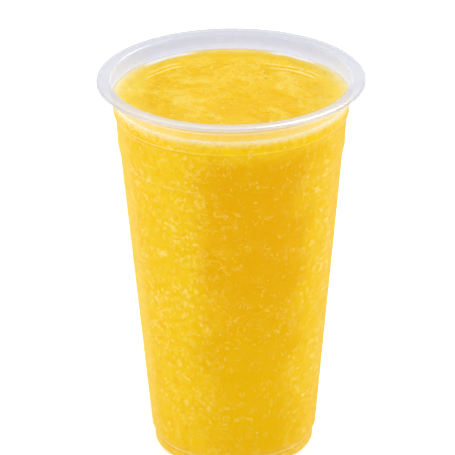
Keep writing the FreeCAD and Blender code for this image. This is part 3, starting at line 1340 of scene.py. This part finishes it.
@dataclass
class Pulp:
    """Everything that lies on one face of the juice, one piece for each kind."""

    bed: WallBed | OpenBed
    prefix: str
    draw: Draw

    def strips(self, kind: Strip, batch: Batch, finish: PulpFinish) -> bpy.types.Object:
        """Lay strands or curls.

        Args:
            kind: strand or curl.
            batch: how many, how long and how wide.
            finish: their finish.

        Returns:
            The piece.
        """
        tubes = Tubes()
        bends, places = kind.value
        for _ in range(batch.count):
            across, along = self.bed.spot(self.draw)
            length = self.draw.uniform(*batch.lengths) * MM
            start = self.draw.uniform(0, 2 * math.pi)
            wave = 0.35 * np.sin(np.linspace(0, 5, places) + start)
            bend = self.draw.uniform(*bends) * self.draw.choice([-1, 1])
            heading = start + bend * np.linspace(0, 1, places) + wave
            longer = self.bed.drawn_out(across, along)
            path, out = self.bed.lay(across + np.cumsum(np.cos(heading)) * longer * length / places,
                                     along + np.cumsum(np.sin(heading)) * length / places)
            tubes.add(path - out * 0.3 * self.bed.proud, out, self.draw.uniform(*batch.widths) * MM,
                      self.bed.proud, self.draw.beta(1.4, 2.2))
        return tubes.piece(f"{self.prefix}_{kind.name.lower()}s", finish)

    def bodies(self, name: str, batch: Batch, finish: PulpFinish) -> bpy.types.Object:
        """Lay flat rounded bodies: sacs, specks or bubbles.

        Args:
            name: the kind's name.
            batch: how many, and their half-lengths and half-widths.
            finish: their finish.

        Returns:
            The piece.
        """
        pebbles = Pebbles()
        step = 0.05 * MM
        for _ in range(batch.count):
            across, along = self.bed.spot(self.draw)
            turn = self.draw.uniform(0, math.pi)
            places, out = self.bed.lay(across + np.array([0.0, math.cos(turn) * step]),
                                       along + np.array([0.0, math.sin(turn) * step]))
            first = (places[1] - places[0]) / np.linalg.norm(places[1] - places[0])
            second = np.cross(out[0], first)
            length = self.draw.uniform(*batch.lengths) * MM
            width = self.draw.uniform(*batch.widths) * MM
            axes = np.array([first * length, second * width, out[0] * self.bed.proud])
            pebbles.add(places[0], axes, self.draw.beta(1.4, 2.0))
        return pebbles.piece(f"{self.prefix}_{name}", finish)


@dataclass(frozen=True)
class FrothRing:
    """Fine froth where the surface meets the wall: a dense string of bubbles round the cup, paler away from
    the front, partly froth and partly a painted highlight of the meniscus.
    """

    wall: InnerWall
    bite: float
    draw: Draw
    bubbles: int = 3600
    sizes: Span = (0.12 * MM, 0.28 * MM)
    spread: float = 0.2 * MM
    back_share: float = 0.40
    back_rise: float = 0.3 * MM
    front_drop: float = 0.65 * MM

    def build(self) -> bpy.types.Object:
        """Build and dress the ring.

        Returns:
            The piece.
        """
        pebbles = Pebbles()
        for _ in range(self.bubbles):
            angle = self.draw.uniform(0, 2 * math.pi)
            forward = -math.sin(angle)
            front = float(smooth_step(forward, -0.2, 0.4))
            behind = self.back_share * (0.4 + 0.6 * abs(math.cos(angle)) ** 0.6)
            size = self.draw.uniform(*self.sizes) * (behind + (1.0 - behind) * front)
            rise = (1.0 - front) * self.back_rise + self.draw.normal(0.0, self.spread) * (0.45 + 0.55 * front)
            rise -= self.front_drop * float(smooth_step(forward, 0.35, 1.0))
            height = self.wall.level + rise
            radius = float(self.wall.radius(height)) + front * self.bite - size * (0.7 - 0.3 * front)
            middle = np.array([radius * math.cos(angle), radius * math.sin(angle), height])
            # paler away from the front: partly froth, partly a painted highlight of the meniscus
            paler = 0.4 * (1.0 - float(smooth_step(forward, 0.5, 0.95)))
            pebbles.add(middle, np.eye(3) * size, min(1.0, 0.75 * self.draw.beta(2.0, 1.6) + paler))
        finish = PulpFinish("froth", deep=(0.965, 0.80, 0.36), light=(0.99, 0.96, 0.86))
        return pebbles.piece("froth_ring", finish)


@dataclass
class Contents:
    """All that the cup holds: the fill, the film on the wall, and the pulp and froth."""

    wall: InnerWall
    film: Film
    seed: int = 11
    swirl_seed: int = 6
    wall_strands: Batch = Batch(900, (1.0, 4.4), (0.09, 0.22))
    wall_curls: Batch = Batch(480, (2.6, 7.0), (0.09, 0.22))
    wall_sacs: Batch = Batch(900, (0.2, 0.7), (0.12, 0.36))
    wall_bubbles: Batch = Batch(700, (0.08, 0.3), (0.08, 0.3))
    wall_specks: Batch = Batch(60, (0.1, 0.35), (0.1, 0.25))
    open_strands: Batch = Batch(150, (1.0, 4.5), (0.08, 0.2))
    open_sacs: Batch = Batch(170, (0.3, 1.2), (0.25, 0.7))
    open_bubbles: Batch = Batch(60, (0.15, 0.3), (0.15, 0.3))

    def build(self) -> list[bpy.types.Object]:
        """Build and dress every piece.

        Returns:
            The pieces.
        """
        noise.seed_set(self.swirl_seed)
        fill = JuiceFill(self.wall)
        dressing = JuiceFinish(self.wall)
        draw = np.random.default_rng(self.seed)
        return [
            fill.build(dressing),
            self.film.build(),
            *self.at_wall(Pulp(WallBed(self.wall, fill.bite, dressing.amber_azimuth), "wall", draw)),
            *self.afloat(Pulp(OpenBed(fill), "open", draw)),
            FrothRing(self.wall, fill.bite, draw).build(),
        ]

    def at_wall(self, pulp: Pulp) -> list[bpy.types.Object]:
        """Lay the pulp that rests against the wall.

        Args:
            pulp: where and how it is laid.

        Returns:
            The pieces.
        """
        bubble = PulpFinish("bubbles", deep=(0.92, 0.60, 0.05), light=(0.96, 0.80, 0.36))
        peel = PulpFinish("peel", deep=(0.62, 0.25, 0.004), light=(0.80, 0.38, 0.006))
        return [
            pulp.strips(Strip.STRAND, self.wall_strands, PulpFinish("wall_strands")),
            pulp.strips(Strip.CURL, self.wall_curls, PulpFinish("wall_curls")),
            pulp.bodies("sacs", self.wall_sacs, PulpFinish("wall_sacs")),
            pulp.bodies("bubbles", self.wall_bubbles, bubble),
            pulp.bodies("specks", self.wall_specks, peel),
        ]

    def afloat(self, pulp: Pulp) -> list[bpy.types.Object]:
        """Lay the pulp and bubbles that float on the open surface.

        Args:
            pulp: where and how it is laid.

        Returns:
            The pieces.
        """
        wet = {"roughness": 0.3, "specular": 0.05}
        strand = PulpFinish("open_strands", deep=(0.95, 0.62, 0.03), light=(0.98, 0.76, 0.20), **wet)
        sac = PulpFinish("open_sacs", deep=(0.95, 0.62, 0.03), light=(0.98, 0.74, 0.17), **wet)
        bubble = PulpFinish("open_bubbles", deep=(0.98, 0.70, 0.11), light=(0.99, 0.80, 0.30), **wet)
        return [
            pulp.strips(Strip.STRAND, self.open_strands, strand),
            pulp.bodies("sacs", self.open_sacs, sac),
            pulp.bodies("bubbles", self.open_bubbles, bubble),
        ]


# ---------------------------------------------------------------------------------------------------
# The cup and the studio
# ---------------------------------------------------------------------------------------------------


@dataclass
class Cup:
    """The cup itself: its CAD shape stays, and it gets its plastic."""

    wall: InnerWall
    film: Film

    def dress(self) -> bpy.types.Object:
        """Put the plastic on the CAD node.

        Returns:
            The dressed node.
        """
        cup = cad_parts["cup"]
        cup.material_slots[0].material = ClearPlastic(self.wall, self.film).make()
        return cup


@dataclass(frozen=True)
class Softbox:
    """A square soft lamp that faces the cup; angles in degrees, power in watts, sizes in metres."""

    name: str
    azimuth: float
    elevation: float
    power: float
    size: float
    distance: float = 1.15

    def build(self, aim: Vector) -> None:
        """Hang the lamp round a point and turn it there.

        Args:
            aim: the point that it lights.
        """
        lamp = bpy.data.lights.new(self.name, "AREA")
        lamp.shape = "SQUARE"
        lamp.size = self.size
        lamp.energy = self.power
        holder = bpy.data.objects.new(self.name, lamp)
        holder.visible_camera = False
        turn, lift = math.radians(self.azimuth), math.radians(self.elevation)
        away = Vector((math.cos(lift) * math.cos(turn), math.cos(lift) * math.sin(turn), math.sin(lift)))
        holder.location = aim + away * self.distance
        holder.rotation_euler = away.to_track_quat("Z", "Y").to_euler()
        bpy.context.scene.collection.objects.link(holder)


@dataclass
class Studio:
    """Pale floor, soft lamps and the camera, all placed about the cup."""

    floor_half: float = 4.0
    sky_level: float = 0.90
    aim_share: float = 0.6
    lens: float = 280.5
    distance: float = 1250.0 * MM
    elevation: float = math.radians(22.253)
    pitch: float = math.radians(24.681)
    turn: float = math.radians(-0.084)
    roll: float = math.radians(-0.497)
    lamps: tuple[Softbox, ...] = (
        Softbox("left_softbox", 205.0, 18.0, 2.3, 0.55),
        Softbox("right_softbox", -15.0, 22.0, 2.2, 0.45),
        Softbox("rim_softbox", 79.0, 40.0, 1.3, 0.24),
        Softbox("back_softbox", 69.0, 14.0, 0.2, 0.20),
        Softbox("top_softbox", 90.0, 78.0, 0.3, 0.30),
    )

    def build(self) -> None:
        """Build the whole studio."""
        self.floor()
        self.sky()
        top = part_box("cup")[1].z
        for lamp in self.lamps:
            lamp.build(Vector((0, 0, top * self.aim_share)))
        self.camera(top)

    def floor(self) -> None:
        """Lay a large level floor."""
        half = self.floor_half
        mesh = bpy.data.meshes.new("floor")
        corners = [(-half, -half, 0), (half, -half, 0), (half, half, 0), (-half, half, 0)]
        mesh.from_pydata(corners, [], [(0, 1, 2, 3)])
        floor = bpy.data.objects.new("floor", mesh)
        bpy.context.scene.collection.objects.link(floor)
        mesh.materials.append(PaleFloor().make())

    def sky(self) -> None:
        """Spread even pale light from all round, white where it is seen."""
        world = bpy.data.worlds.new("studio")
        bpy.context.scene.world = world
        nodes = Nodes(world)
        strength = nodes.add("MapRange", {"Value": nodes.seen(), "To Min": self.sky_level}).outputs["Result"]
        light = nodes.add("Background", {"Color": (1.0, 1.0, 1.0), "Strength": strength}).outputs[0]
        nodes.finish(light, "OutputWorld")

    def camera(self, rim: float) -> None:
        """Set up a long lens that looks down on the cup from the front.

        Args:
            rim: height of the cup's rim, which the camera is placed about.
        """
        camera = bpy.data.cameras.new("camera")
        camera.lens = self.lens
        camera.sensor_width = 36.0
        camera.clip_start = 0.05
        camera.clip_end = 20.0
        holder = bpy.data.objects.new("camera", camera)
        back = Vector((0, -math.cos(self.elevation), math.sin(self.elevation)))
        holder.location = Vector((0, 0, rim)) + back * self.distance
        aim = Euler((math.pi / 2 - self.pitch, 0.0, -self.turn)).to_matrix()
        holder.rotation_euler = (aim @ Euler((0, 0, self.roll)).to_matrix()).to_euler()
        bpy.context.scene.collection.objects.link(holder)
        bpy.context.scene.camera = holder
        bpy.context.scene.view_settings.view_transform = "Standard"


def report(piece: bpy.types.Object) -> None:
    """Log a piece's name and how many faces it has."""
    LOG.info("%s: %d faces", piece.name, len(piece.data.polygons))


def main() -> None:
    """Build the cup, what it holds and the studio in order, and report each piece."""
    logging.basicConfig(level=logging.INFO, format="%(message)s")
    wall = InnerWall.of_node("juice")
    film = Film(wall)
    report(Cup(wall, film).dress())
    for piece in Contents(wall, film).build():
        report(piece)
    Studio().build()


if __name__ == "__main__":
    main()
